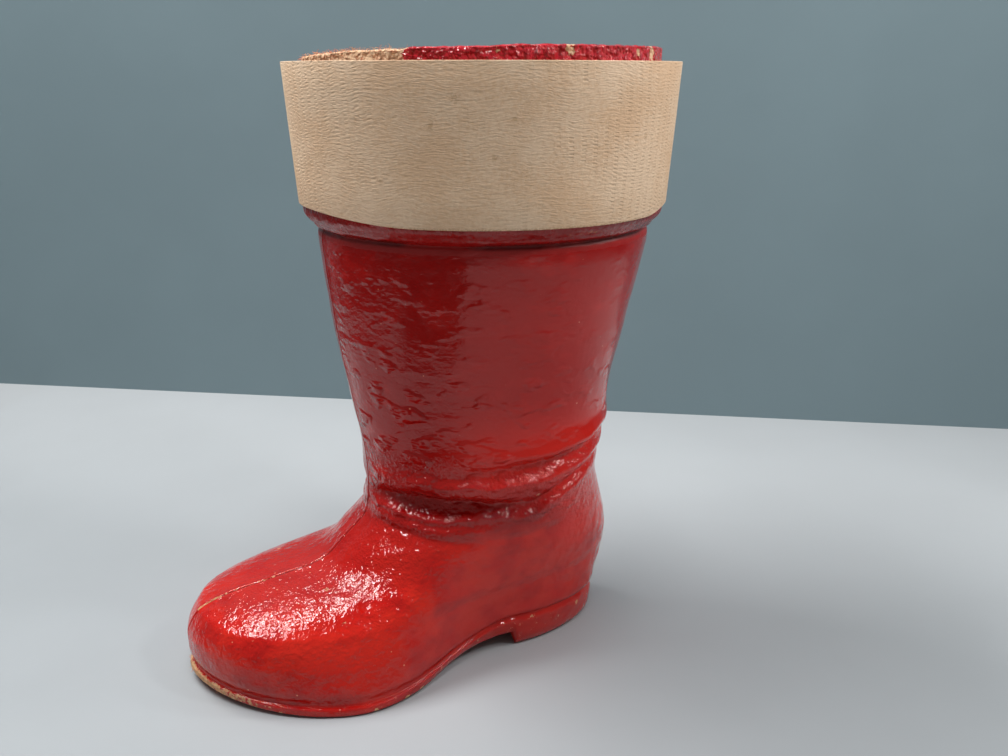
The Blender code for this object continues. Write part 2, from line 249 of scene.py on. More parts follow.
# Turns of one row, spaced evenly round the outline, finer at the seams and set to the heel's breast.
def rowTurns(height, breast):
    dense = np.pi * (0.5 - 0.5 * np.cos(np.linspace(0, np.pi, 1601)))
    x, y = outline(height, dense)
    run = np.concatenate([[0], np.cumsum(np.hypot(np.diff(x), np.diff(y)))])
    marks = np.interp([breast - bootForm["breastSlope"], breast], x, run)
    seam = np.array(halfMesh["seamSteps"])
    arcs = np.concatenate([seam, np.linspace(seam[-1], marks[0], halfMesh["frontColumns"])[1:],
                           np.linspace(*marks, 4)[1:-1],
                           np.linspace(marks[1], run[-1] - seam[-1], halfMesh["rearColumns"])[:-1],
                           run[-1] - seam[::-1]])
    return np.interp(arcs, run, dense)


def rowHeights(steps, top):  # heights by distance along the toe's middle line
    dense = np.linspace(steps[0][0], top, 3000)
    line = np.array([surface(height, np.array([1e-4]))[0] for height in dense])
    starts, sizes = np.array(steps).T
    spacing = sizes[np.searchsorted(starts, dense, side="right") - 1]
    travelled = np.concatenate([[0], np.cumsum(np.linalg.norm(np.diff(line, axis=0), axis=1) / spacing[1:])])
    count = int(travelled[-1])
    return np.interp(np.linspace(0, travelled[-1], count + 1), travelled, dense)


# Ankle folds of the near half, from the leg's hem down: crests and creases in turn, each with its
# path as (bearing, height) and its relief outward as (bearing, size).
ankleFolds = {
    "top": 97, "foot": 45, "rounding": 0.7, "wobble": 0.25,
    "hollowPower": 2, "crestPower": 1.3, "sharpness": 0.28, "softShare": 0.2,
    "farPath": (0.9, 19), "farRelief": (0.85, 0.15, 13),
    "near": [
        ([(0, 90), (40, 86), (58, 84), (80, 86), (96, 87.5), (108, 88.4), (119, 89.6), (136, 91.6),
          (180, 94)], [(40, 0), (58, 0.3), (80, 0.9), (96, 2.1), (119, 2.5), (136, 1.2), (168, 0)]),
        ([(0, 84), (40, 80.5), (58, 79.4), (69, 82), (80, 83), (96, 83.9), (108, 84.4), (119, 85.4),
          (136, 87.2), (180, 90)], [(46, 0), (62, -0.7), (80, -1.6), (96, -1.9), (119, -1.5), (136, -1.1),
          (166, 0)]),
        ([(0, 74), (12, 75), (36, 76.6), (64, 75.6), (80, 76), (94, 77.2), (112, 78.6), (136, 81.6),
          (180, 85)], [(4, 0), (20, 0.8), (40, 1.4), (64, 2), (80, 2.4), (94, 2.5), (112, 2.1),
          (134, 1.3), (168, 0)]),
        ([(0, 70), (17, 72.2), (36, 74), (51, 73.6), (58, 72.9), (81, 71.8), (90, 71.7), (102, 73),
          (121, 76.8), (134, 79), (180, 83)], [(3, 0), (17, 0.9), (36, 1.4), (58, 1.4), (81, 1.1),
          (94, 1), (112, 0.9), (134, 0.5), (165, 0)]),
        ([(0, 67), (16, 67.8), (30, 68.4), (48, 68.4), (66, 68), (80, 67.4), (92, 66.8), (102, 69.4),
          (110, 71.4), (121, 74.2), (134, 76.4), (180, 81)], [(5, 0), (13, -1.6), (26, -4.2), (40, -5.2),
          (62, -5.2), (78, -3.6), (90, -1.7), (118, -1.8), (134, -1.1), (162, 0)]),
        ([(0, 62.4), (12, 62.8), (24, 63.3), (36, 62), (55, 61.4), (67, 62.5), (76, 63.2), (86, 62.4),
          (94, 61), (102, 64.6), (112, 67.8), (124, 71.2), (134, 72.8), (180, 77)], [(8, 0), (24, 0.2),
          (48, 0.6), (70, 0.6), (84, 0.7), (95, 1.2), (112, 1.3), (130, 0.7), (165, 0)]),
        ([(0, 60.8), (22, 61.9), (36, 60.7), (54, 59.9), (66, 60.3), (80, 61), (94, 58.4), (110, 62),
          (134, 68), (180, 73)], [(8, 0), (24, -0.1), (66, -0.1), (86, 0.3), (120, 0.3), (160, 0)]),
        ([(0, 58.6), (22, 59.7), (36, 58.5), (54, 57.4), (66, 57.3), (80, 58.2), (94, 55.6), (110, 57),
          (134, 60), (180, 64)], [(6, 0), (22, 0.8), (60, 1), (80, 0.6), (100, 0.4), (130, 0)]),
        ([(0, 55.5), (24, 56.6), (36, 55.6), (54, 54.6), (90, 53.2), (120, 53.6), (180, 56)], [(6, 0),
          (20, -0.4), (56, -0.4), (80, -0.2), (100, -0.3), (130, 0)]),
        ([(0, 52), (35, 52.2), (53, 51.4), (93, 50.4), (120, 50), (180, 51)], [(6, 0), (20, 0.2),
          (50, 0.2), (93, 0.2), (130, 0)]),
    ],
}


def farFold(path, relief):  # the far half's folds run a little higher or lower and stand out less
    shift, wave = ankleFolds["farPath"]
    share, swing, turn = ankleFolds["farRelief"]
    return ([(b, z + shift * math.sin(b / wave)) for b, z in path],
            [(b, size * (share + swing * math.cos(b / turn))) for b, size in relief])


ankleFolds["far"] = [farFold(*fold) for fold in ankleFolds["near"]]


def foldRelief(side, bearings, heights):  # the lines are rounded by a mean over nearby heights
    shifts = np.linspace(-1, 1, 5) * ankleFolds["rounding"]
    return np.mean([foldLines(side, bearings, heights + shift) for shift in shifts], axis=0)


def foldLines(side, bearings, heights):
    f = ankleFolds
    heights = heights + f["wobble"] * (np.sin(bearings / 3.7) + 0.6 * np.sin(bearings / 1.7 + heights / 5))
    relief, last = np.zeros_like(bearings), np.zeros_like(bearings)
    above = np.full_like(bearings, f["top"])
    flat = ([(0, f["foot"]), (180, f["foot"])], [(0, 0), (180, 0)])
    for path, sizes in [*f[side], flat]:
        line, size = profile(path, bearings), profile(sizes, bearings)
        t = np.clip((above - heights) / (above - line), 0, 1)
        power = np.where(size < last, f["hollowPower"], f["crestPower"] + (size - last) * f["sharpness"])
        relief = relief + (size - last) * (t ** power * (1 - f["softShare"]) + ease(t) * f["softShare"])
        above, last = line, size
    return relief


# Seam ridge down the front and the back, with the crack where the two halves meet.
seamForm = {"ridge": 0.32, "ridgeReach": 1.9, "crack": 0.55, "crackReach": 0.36}


def seamRelief(y):
    f = seamForm
    return f["ridge"] * hump(y, 0, f["ridgeReach"]) - f["crack"] * hump(y, 0, f["crackReach"])


# Worn places: spots are (bearing, height, radius, strength).
wornPlaces = {
    "near": {
        "spots": [(110.8, 90, 0.9, 0.7), (96.2, 70, 1.1, 0.8), (91.5, 55.5, 0.5, 0.6), (30, 36.5, 1.3, 0.62),
                  (64.8, 31, 0.5, 0.6), (68, 28.5, 0.5, 0.6), (122.2, 6.6, 0.8, 0.75), (130.5, 6.6, 0.9, 0.7),
                  (139, 6.6, 0.7, 0.7), (150.2, 4.2, 1, 0.75), (91.2, 1.5, 1.2, 0.8), (97.8, 1.5, 1.5, 0.8),
                  (101, 2.2, 1, 0.7), (58, 1.2, 0.9, 0.7), (72, 228, 0.9, 0.8), (93, 228.4, 1.8, 0.8),
                  (120, 227.6, 1.3, 0.75), (130, 227.4, 2.2, 0.85)],
        "toe": [(0, 0.82), (30, 0.8), (36, 0.62), (46, 0.5), (53, 0.3), (70, 0.2)],
        "rim": [(0, 1), (44, 1), (47.5, 0.2), (60, 0.14), (180, 0.2)],
        "rimLoss": [(0, 3.2), (16, 2.4), (30, 1.7), (45.5, 1.5), (48.5, 0.9), (68, 0.6), (80, 0)],
    },
    "far": {
        "spots": [(70, 76, 0.9, 0.75), (125, 62, 1.1, 0.75), (38, 34, 1.2, 0.7), (88, 26, 0.6, 0.65),
                  (112, 130, 0.7, 0.65), (60, 150, 0.6, 0.65), (128, 6.6, 0.9, 0.8), (143, 6.6, 0.8, 0.7),
                  (84, 1.4, 1.4, 0.8), (99, 1.6, 1.1, 0.75), (66, 228, 1.6, 0.8), (101, 228, 1, 0.75),
                  (150, 228, 1.7, 0.8)],
        "toe": [(0, 0.8), (16, 0.74), (26, 0.5), (40, 0.3), (60, 0.2)],
        "rim": [(0, 1), (28, 1), (33, 0.22), (60, 0.14), (180, 0.2)],
        "rimLoss": [(0, 3.2), (22, 4.1), (40, 2.9), (60, 1.4), (90, 0)],
    },
}


# Wear that both halves share. A band says where it starts, is full, starts to fade and ends.
wornBands = {
    "spotEdge": 1.6, "toe": (0.2, 1, 6, 7.6), "rim": (221, 223.5), "lining": (222, 229),
    "tread": (0.5, 0), "treadWear": 0.62,
    "vamp": [(0.76, 25.3, 26.8, 30, 31.4), (0.52, 24, 27, 34.5, 36.5)], "vampReach": 1.1,
    "lip": (170.6, 1.1), "lipSide": (101, 8), "lipWear": 0.56,
}


def wearOf(worn, bearings, heights, points):
    f = wornBands
    wear = np.zeros_like(bearings)
    for bearing, height, radius, strength in worn["spots"]:
        centre = surface(height, np.radians([bearing]))[0]
        away = np.linalg.norm(points - centre, axis=-1)
        wear = np.maximum(wear, strength * ease(f["spotEdge"] - away / radius))
    toe = profile(worn["toe"], bearings) * plateau(heights, *f["toe"])
    rim = profile(worn["rim"], bearings) * climb(heights, *f["rim"])
    vamp = np.max([strength * plateau(heights, *stations) for strength, *stations in f["vamp"]], axis=0)
    vamp = vamp * hump(points[..., 1], 0, f["vampReach"])
    lip = f["lipWear"] * hump(heights, *f["lip"]) * hump(bearings, *f["lipSide"])
    tread = f["treadWear"] * climb(heights, *f["tread"])
    return np.max([wear, toe, rim, vamp, lip, tread], axis=0)


def wornAway(worn, bearings, tall):  # height that the rim has lost
    return profile(worn["rimLoss"], bearings) * climb(tall, *bootForm["rimWear"])


def outsideRows(side, worn):
    f = bootForm
    heights = np.concatenate([halfMesh["soleRows"], rowHeights(halfMesh["rowSteps"], f["rimHeight"])])
    rows, turns = [], []
    for height in heights:
        turn = rowTurns(height, f["breast"])
        line = surface(height, turn)
        if height <= f["weltTop"]:
            line -= normals(height, turn, level=True) * profile(f["soleInset"], height)
        if height <= f["soleEdge"]:
            x = line[:, 0]
            follows = aboveTread(height, x) + archLift(x)
            stands = (aboveTread(f["soleEdge"], x) + archLift(x)) * height / f["soleEdge"]
            heel = heelShare(x, f["breast"])
            line[:, 2] = follows * (1 - heel) + stands * heel
        rows.append(line)
        turns.append(turn)
    points, turns = np.array(rows), np.array(turns)
    bearings = np.degrees(turns)
    tall = np.repeat(heights[:, None], points.shape[1], axis=1)
    out = gridNormals(points)
    level = out * [1, 1, 0]
    level /= np.maximum(np.linalg.norm(level, axis=2, keepdims=True), 1e-6)
    points = points + level * foldRelief(side, bearings, tall)[..., None]
    points = points + out * (seamRelief(points[..., 1]) * climb(tall, *f["seamStart"]))[..., None]
    points[..., 2] -= wornAway(worn, bearings, tall)
    return points, bearings, tall


def gridNormals(points):  # out of the surface, with the mirrored half beyond each seam
    mirror = np.array([1, -1, 1])
    wide = np.concatenate([points[:, 1:2] * mirror, points, points[:, -2:-1] * mirror], axis=1)
    around = wide[:, 2:] - wide[:, :-2]
    upward = np.gradient(points, axis=0)
    out = np.cross(upward, around)
    return out / np.maximum(np.linalg.norm(out, axis=2, keepdims=True), 1e-9)


def insideLine(side, height, turns, gap=0):  # the wall's inner face at a height, or a gap further in
    level = normals(height, turns, level=True)
    away = level if height >= bootForm["legTop"] else normals(height, turns)
    relief = foldRelief(side, np.degrees(turns), np.full(len(turns), height))
    wall = profile(bootForm["wall"], height) + gap
    return surface(height, turns) - away * wall + level * relief[:, None]


def insideRows(side, worn):
    heights = rowHeights(halfMesh["insideRows"], bootForm["rimHeight"])
    turns = [rowTurns(height, liningBreast) for height in heights]
    rows = [insideLine(side, height, turn) for height, turn in zip(heights, turns)]
    floor = rows[0] - normals(heights[0], turns[0], level=True) * bootForm["liningCorner"]
    floor[:, 2] = floorHeight(floor[:, 0], liningBreast, bootForm["floorThickness"])
    points = np.array([floor, *rows])
    bearings = np.degrees(np.array([turns[0], *turns]))
    tall = np.repeat(np.array([heights[0], *heights])[:, None], points.shape[1], axis=1)
    points[..., 2] -= wornAway(worn, bearings, tall)
    return points, bearings, tall


def heelShare(x, breast):
    return np.clip((x - breast + bootForm["breastSlope"]) / bootForm["breastSlope"], 0, 1)


def floorHeight(x, breast, thickness):
    return thickness + archLift(x) * (1 - heelShare(x, breast))


def floorRungs(ring, breast, thickness):  # from each point of a ring to the middle plane
    part = np.linspace(0, 1, halfMesh["rungs"] + 1)[None, 1:]
    near = np.clip(1 - np.abs(ring[:, :1] - breast) / bootForm["breastReach"], 0, 1)
    shift = bootForm["breastHollow"] * near * (1 - (1 - part) ** 2)
    x = ring[:, :1] + shift
    z = floorHeight(ring[:, :1] + 0 * shift, breast, thickness) + archLift(x) - archLift(ring[:, :1])
    z = np.where(ring[:, :1] >= breast, thickness, z)
    return np.stack([x, ring[:, 1:2] * (1 - part), z], axis=2)


def cells(table):  # the four corners of each cell of a grid
    return np.stack([table[:-1, :-1], table[:-1, 1:], table[1:, 1:], table[1:, :-1]], axis=2).reshape(-1, 4)


def newMesh(name, points, faces):
    mesh = bpy.data.meshes.new(name)
    mesh.from_pydata(points, [], faces)
    return mesh


def halfShell(name, side, sign):
    worn = wornPlaces[side]
    points, bearings, tall = outsideRows(side, worn)
    wear = wearOf(worn, bearings, tall, points)
    inner, innerBearings, innerTall = insideRows(side, worn)
    rim = np.linspace(points[-1], inner[-1], halfMesh["rimRows"] + 2)[1:-1]
    crown = np.sin(np.linspace(0, np.pi, halfMesh["rimRows"] + 2)[1:-1])
    rim[..., 2] += halfMesh["rimCrown"] * crown[:, None]
    tread = floorRungs(points[0], bootForm["breast"], 0.0)
    base = floorRungs(inner[0], liningBreast, bootForm["floorThickness"])

    verts = []
    fields = {"wear": [], "inner": [], "bearing": [], "tall": []}

    def addGrid(grid, **values):
        start = sum(len(v) for v in verts)
        verts.append(grid.reshape(-1, 3))
        for key in fields:
            fields[key].append(np.broadcast_to(values[key], grid.shape[:2]).reshape(-1))
        return start + np.arange(grid[..., 0].size).reshape(grid.shape[:2])

    outer = addGrid(points, wear=wear, inner=0, bearing=bearings, tall=tall)
    top = addGrid(rim, wear=wear[-1][None], inner=0, bearing=bearings[-1][None], tall=bootForm["rimHeight"])
    innerWear = 1 - 0.5 * (1 - wear[-1][None]) * climb(innerTall, *wornBands["lining"])
    lining = addGrid(inner, wear=innerWear, inner=1, bearing=innerBearings, tall=innerTall)
    sole = addGrid(tread, wear=0.5, inner=0, bearing=bearings[:1].T, tall=0)
    floor = addGrid(base, wear=1, inner=1, bearing=innerBearings[:1].T, tall=9)
    rimTable = np.concatenate([outer[-1:], top, lining[-1:]])
    soleTable, floorTable = np.hstack([outer[:1].T, sole]), np.hstack([lining[:1].T, floor])
    faces = np.concatenate([cells(table) for table in (outer, rimTable, lining, soleTable, floorTable)])
    place = np.concatenate(verts)
    place[:, 1] = sign * np.maximum(place[:, 1], halfMesh["seamGap"])
    place[:, 0] += bootForm["legX"]
    mesh = newMesh(name, (place * mm).tolist(), faces.tolist())
    for key, parts in fields.items():
        values = np.concatenate(parts).astype(np.float32)
        mesh.attributes.new(key, "FLOAT", "POINT").data.foreach_set("value", values)
    closeHalf(mesh)
    return newPiece(name, mesh)


def closeHalf(mesh):  # merges the points at the middle plane and fills the cut through the wall
    work = bmesh.new()
    work.from_mesh(mesh)
    bmesh.ops.remove_doubles(work, verts=work.verts, dist=halfMesh["merge"] * mm)
    bmesh.ops.dissolve_degenerate(work, edges=work.edges, dist=halfMesh["sliver"] * mm)
    edges = [edge for edge in work.edges if edge.is_boundary]
    cut = bmesh.ops.holes_fill(work, edges=edges, sides=0)["faces"]
    bmesh.ops.triangulate(work, faces=cut)
    bmesh.ops.recalc_face_normals(work, faces=work.faces)
    work.to_mesh(mesh)
    work.free()


def newPiece(name, mesh):
    piece = bpy.data.objects.new(name, mesh)
    bpy.context.scene.collection.objects.link(piece)
    return piece


def smooth(piece, angle=halfMesh["sharpAngle"]):
    piece.data.shade_smooth()
    piece.data.set_sharp_from_angle(angle=math.radians(angle))


# A group of geometry nodes with a named input for each value.
def newGroup(name, values, geometry=None):
    tree = bpy.data.node_groups.new(name, "GeometryNodeTree")
    tree.interface.new_socket("Geometry", in_out="OUTPUT", socket_type="NodeSocketGeometry")
    kinds = {geometry: "NodeSocketGeometry"} if geometry else {}
    for label, value in values.items():
        kinds[label] = "NodeSocketInt" if isinstance(value, int) else "NodeSocketFloat"
    for label, kind in kinds.items():
        tree.interface.new_socket(label, in_out="INPUT", socket_type=kind)
    start = tree.nodes.new("NodeGroupInput")
    return Wire(tree), {label: Wire(tree, start.outputs[label]) for label in kinds}


def endGroup(last, material):
    last = last.node("GeometryNodeRealizeInstances", None, {0: last})
    last = last.node("GeometryNodeSetMaterial", None, {0: last, "Material": material})
    end = last.tree.nodes.new("NodeGroupOutput")
    last.tree.links.new(last.socket, end.inputs[0])
    return last.tree


# Runs a group on a piece with these values and keeps the result as its plain mesh.
def runGroup(piece, tree, values):
    modifier = piece.modifiers.new(tree.name, "NODES")
    modifier.node_group = tree
    sockets = {item.name: item.identifier for item in tree.interface.items_tree if item.in_out == "INPUT"}
    for label, value in values.items():
        modifier[sockets[label]] = value
    graph = bpy.context.evaluated_depsgraph_get()
    result = piece.evaluated_get(graph)
    mesh = bpy.data.meshes.new_from_object(result, preserve_all_data_layers=True, depsgraph=graph)
    piece.modifiers.clear()
    piece.data = mesh
    return piece


def meshFields(wire, *names):
    return [wire.node("GeometryNodeInputNamedAttribute", {"data_type": "FLOAT"}, {"Name": name})
            for name in names]


# Dents, brush streaks and rim crinkles that the wet pulp and the lacquer left, in millimetres.
pulpDents = {"Leg Dent": 0.6, "Leg Dent Size": 13.0, "Streak": 0.3, "Streak Size": 3.6, "Foot Dent": 0.5,
             "Foot Dent Size": 9.0, "Crinkle": 1.1, "Crinkle Size": 4.5, "Inside": 0.9}
dentZones = {"seam": (0.05, 1.2), "leg": (80, 110, 220, 226), "foot": (9, 14, 50, 70), "rim": (222, 225),
             "stretch": (2.4, 2.4, 1)}


def dentGroup(material):
    f = dentZones
    wire, given = newGroup("pulpDents", pulpDents, "Shell")
    tall, inner = meshFields(wire, "tall", "inner")
    where = wire.node("GeometryNodeInputPosition").scaled(1 / mm)
    level = where.stretched(*f["stretch"])
    leg, foot, rim = [mask * (1 - inner) for mask in (
        tall.zone(*f["leg"]), tall.zone(*f["foot"]), tall.step(*f["rim"]))]
    shift = sum(mask * given[depth] * (place.noise(given[size]) - 0.5) for mask, depth, place, size in [
        (leg, "Leg Dent", level, "Leg Dent Size"), (leg, "Streak", level, "Streak Size"),
        (foot, "Foot Dent", where, "Foot Dent Size"), (rim, "Crinkle", where, "Crinkle Size"),
        (inner, "Inside", where, "Crinkle Size")])
    seam = where.axes()[1].size().step(*f["seam"])
    offset = wire.node("GeometryNodeInputNormal").scaled(shift * seam * mm)
    return endGroup(given["Shell"].moved(offset), material)


# Red lacquer over raw pulp. Pairs and fours are heights, bearings or values between which something
# changes, and noises are lists of (depth, size, detail, roughness), in millimetres.
lacquer = {
    "red": (0.58, 0.009, 0.005, 1), "deepRed": (0.36, 0.004, 0.003, 1), "warmLitRed": (0.7, 0.024, 0.01, 1),
    "paintedLightRed": (0.82, 0.02, 0.01, 1), "rimRed": (0.64, 0.018, 0.032, 1), "crack": (0.12, 0.003, 0.003, 1),
    "primer": (0.72, 0.2, 0.12, 1), "pulp": (0.76, 0.46, 0.24, 1), "pulpShade": (0.5, 0.24, 0.1, 1),
    "paleRimPulp": (1.0, 0.68, 0.43, 1), "innerPulp": (0.42, 0.31, 0.2, 1), "innerShade": (0.24, 0.17, 0.1, 1),
    "gloss": 0.05, "dull": 0.15, "bare": 0.85, "legDullness": 0.07, "lipDullness": 0.14, "hemDullness": 0.3,
    "coat": {"IOR": 1.5, "Specular IOR Level": 0.55, "Specular Tint": (1, 0.93, 0.88, 1)},
    "soleTop": (7, 26), "footTop": (46, 62), "leg": (84, 110, 221, 224), "lip": (167, 170, 176, 178),
    "rimFoot": (222, 225), "vamp": (26, 36, 58, 64), "vampSide": (52, 84), "shinSide": (12, 34),
    "rear": (78, 115), "glowFoot": (62, 82), "glowTop": (140, 172), "glowSide": (42, 75),
    "glowFade": (90, 112), "heelSide": (95, 130), "heelDrop": 30, "foldTop": (84, 91), "patchFade": (98, 140),
    "creaseShade": 166.8, "creaseReach": (0.2, 1.5), "hem": 165.6, "hemReach": (0.8, 2.2),
    "seamReach": (0.1, 0.45),
    "chips": [(1.7, 1.5, 5, 0.65), (1.0, 3.6)], "chipMean": 1.35, "bareFrom": (0.58, 0.66),
    "edgeFrom": (0.46, 0.6), "speckScale": 0.11, "speckSize": (0.03, 0.045),
    "mottle": [(0.35, 26, 3), (0.25, 7)], "streaks": [(0.4, 8, 3, 0.6)], "footPaintedLight": 0.2,
    "mottleMean": 0.12, "grain": [(0.36, 1.4, 1.5), (0.14, 0.75, 1)], "pores": [(0.8, 5.0, 1)],
    "brush": [(0.04, 0.9)], "brushStreaks": [(0.4, 3.6, 3, 0.55)],
    "shinGrain": [(0.22, 1.5, 3, 0.6)], "rearStreaks": [(0.09, 1.6)],
    "glints": [(0.45, 1.3, 1.5), (0.1, 0.7, 1), (0.5, 2.8, 1)],
    "rimCrumple": [(3.2, 2.4, 1.5), (0.5, 1.2, 1)], "lipDents": [(0.1, 1.4), (0.7, 4.0)],
}


def newFinish(name):
    material = bpy.data.materials.new(name)
    material.use_nodes = True
    material.node_tree.nodes.clear()
    return material, Wire(material.node_tree).node("ShaderNodeTexCoord", out="Object").scaled(1 / mm)


def finish(material, colour, roughness, height, uniform=None):
    bump = height.node("ShaderNodeBump", None, {"Height": height, "Distance": mm, "Strength": 1.0})
    shader = bump.node("ShaderNodeBsdfPrincipled", None, {
        "Base Color": colour, "Roughness": roughness, "Normal": bump, **(uniform or {})})
    end = shader.tree.nodes.new("ShaderNodeOutputMaterial")
    shader.tree.links.new(shader.socket, end.inputs["Surface"])
    return material


def lacquerFinish():
    f = lacquer
    material, place = newFinish("lacqueredPulp")
    wear, inner, tall, bearing = [place.node("ShaderNodeAttribute", {"attribute_name": name}, None, out="Fac")
                                  for name in ("wear", "inner", "tall", "bearing")]
    outer, foot = 1 - inner, tall.fall(*f["footTop"])
    leg, lip, top = tall.zone(*f["leg"]), tall.zone(*f["lip"]), tall.step(*f["rimFoot"])
    rim = top * outer

    # chips: noise against the wear, with a pink line of thin lacquer round each
    chipping = wear + place.layers(f["chips"]) - f["chipMean"]
    bare, edge = chipping.step(*f["bareFrom"]), chipping.step(*f["edgeFrom"])
    specks = place.node("ShaderNodeTexVoronoi", None, {"Vector": place, "Scale": f["speckScale"]},
                        out="Distance").fall(*f["speckSize"])

    # reds: deeper on the vamp and nearly black in the seam's crack; painted light brightens the back of the
    # ankle and the foot; painted shade darkens the sole, the lip under the cuff and the crease below it
    paintedSideLight = (tall + bearing.step(*f["heelSide"]) * f["heelDrop"]).step(*f["glowFoot"])
    paintedSideLight = paintedSideLight * tall.fall(*f["glowTop"]) * bearing.step(*f["glowSide"])
    seam = place.axes()[1].size().fall(*f["seamReach"]) * outer
    # painted shade: a dark line in the crease under the lip, broken up by noise
    creaseShade = (tall - f["creaseShade"]).size().fall(*f["creaseReach"]) * place.noise(24).step(0.36, 0.56)
    mottle = place.layers(f["mottle"]) + place.stretched(3, 3, 1).layers(f["streaks"])
    # painted light: the foot's mottle is shifted lighter than the leg's, as if lit from above on the
    # upward-facing foot
    mottle = mottle + foot * f["footPaintedLight"] - f["mottleMean"]
    red = mottle.step(0.36, 0.64).between(f["deepRed"], f["red"])
    for tint, mask in [
            # warm patches on the foot: random tone, and painted light from above that makes the foot lighter
            ("warmLitRed", foot * place.noise(14).step(0.36, 0.62) * 0.6),
            # painted shade: darker towards the sole, where the welt faces down
            ("deepRed", tall.fall(*f["soleTop"]) * 0.45),
            # painted light: the back of the ankle and the heel side drawn brighter, as if lit from the right
            ("paintedLightRed", paintedSideLight * (0.66 - tall.step(*f["glowFade"]) * 0.42)),
            ("deepRed", tall.zone(*f["vamp"]) * bearing.fall(*f["vampSide"]) * 0.6),
            ("rimRed", rim),
            ("crack", rim * place.noise(2.4).step(0.46, 0.62) * 0.3),
            # painted shade: the lip under the cuff's overhang is drawn darker, in the crack colour
            ("crack", lip * 0.25),
            # the seam's crack is real and dark; the crease's line beside it is painted shade
            ("crack", seam.maths("MAXIMUM", seam, creaseShade * 0.9)),
            ("primer", edge * 0.75),
            ("primer", specks * outer)]:
        red = mask.between(red, f[tint])

    fibres = place.noise(0.9, 5, 0.7, 0.8)
    pulp = (fibres * 0.6 + place.noise(1.6) * 0.4).step(0.36, 0.6).between(f["pulpShade"], f["pulp"])
    pulp = (place.noise(1.1).step(0.5, 0.62) * (1 - rim) * 0.5).between(pulp, f["primer"])
    # bare pulp drawn paler at the rim
    pulp = (rim * 0.75).between(pulp, f["paleRimPulp"])
    innerPulp = (fibres * 0.6 + place.noise(11, 3) * 0.4).step(0.34, 0.66)
    pulp = inner.between(pulp, innerPulp.between(f["innerShade"], f["innerPulp"]))

    sheen = place.noise(3.2, 3).step(0.4, 0.75, f["gloss"], f["dull"]) + leg * f["legDullness"]
    hem = (tall - f["hem"]).size().fall(*f["hemReach"])
    sheen = sheen + lip * f["lipDullness"] + hem * f["hemDullness"]
    roughness = bare.node("ShaderNodeMix", {"data_type": "FLOAT"}, {0: bare, 2: sheen, 3: f["bare"]})

    # relief: grain and pores on the foot, brush marks on the leg, small glints over the folds
    rear = bearing.step(*f["rear"])
    calm = 1 - rear * 0.6
    grain = place.layers(f["grain"]) * calm
    patches = place.stretched(1.8, 1.8, 1).noise(6.5).step(0.5, 0.72)
    patches = patches * (0.9 - tall.step(*f["patchFade"]) * 0.5)
    brush = place.layers(f["brush"]) + place.stretched(1.9, 1.9, 1).layers(f["brushStreaks"]) + patches
    brush = brush + place.layers(f["shinGrain"]) * bearing.fall(*f["shinSide"])
    brush = brush * calm + place.stretched(1, 1, 6).layers(f["rearStreaks"]) * rear
    glints = place.layers(f["glints"]) * tall.fall(*f["foldTop"]) * (1 - leg)
    height = foot * (grain + place.layers(f["pores"])) + (1 - foot) * (grain * 0.12 + brush + glints)
    height = height + bare * (fibres * 0.3 - 0.28) + inner * fibres * 0.35
    height = height + top * place.layers(f["rimCrumple"]) + lip * place.layers(f["lipDents"])
    return finish(material, bare.between(red, pulp), roughness, height, f["coat"])


lacquerSkin = lacquerFinish()
dents = dentGroup(lacquerSkin)
halves = []
for name, side, sign, node in [("leftHalf", "near", -1, "left_shell"),
                               ("rightHalf", "far", 1, "right_shell")]:
    half = runGroup(halfShell(name, side, sign), dents, pulpDents)
    smooth(half)
    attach(half, "root")
    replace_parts(half, node)
    halves.append(half)
    print(name, len(half.data.polygons), "faces")


# Card cuff: a strip of card rolled to a cone, its outer end lapping over the inner one.
cuff = {"Foot Radius": 68.1, "Top Radius": 72.0, "Foot Height": 174.0, "Top Height": 225.0, "Thickness": 0.8,
        "Lap Start": 140.0, "Lap Length": 14.0, "Lap Foot": 350.0, "Lap Rise": 10.0, "Lap Gap": 0.3,
        "Wave": 0.35, "Side Dip": 0.8, "Toe Lift": 1.9, "Heel Lift": 1.9}
cuffMesh = {"steps": 720, "cuts": 4, "corner": 0.22, "cornerSteps": 3, "waveScale": 28.0,
            "sideDip": (0.35, 1), "toeLift": (0.3, 1), "heelLift": (0.87, 1), "liftFade": (174, 200)}


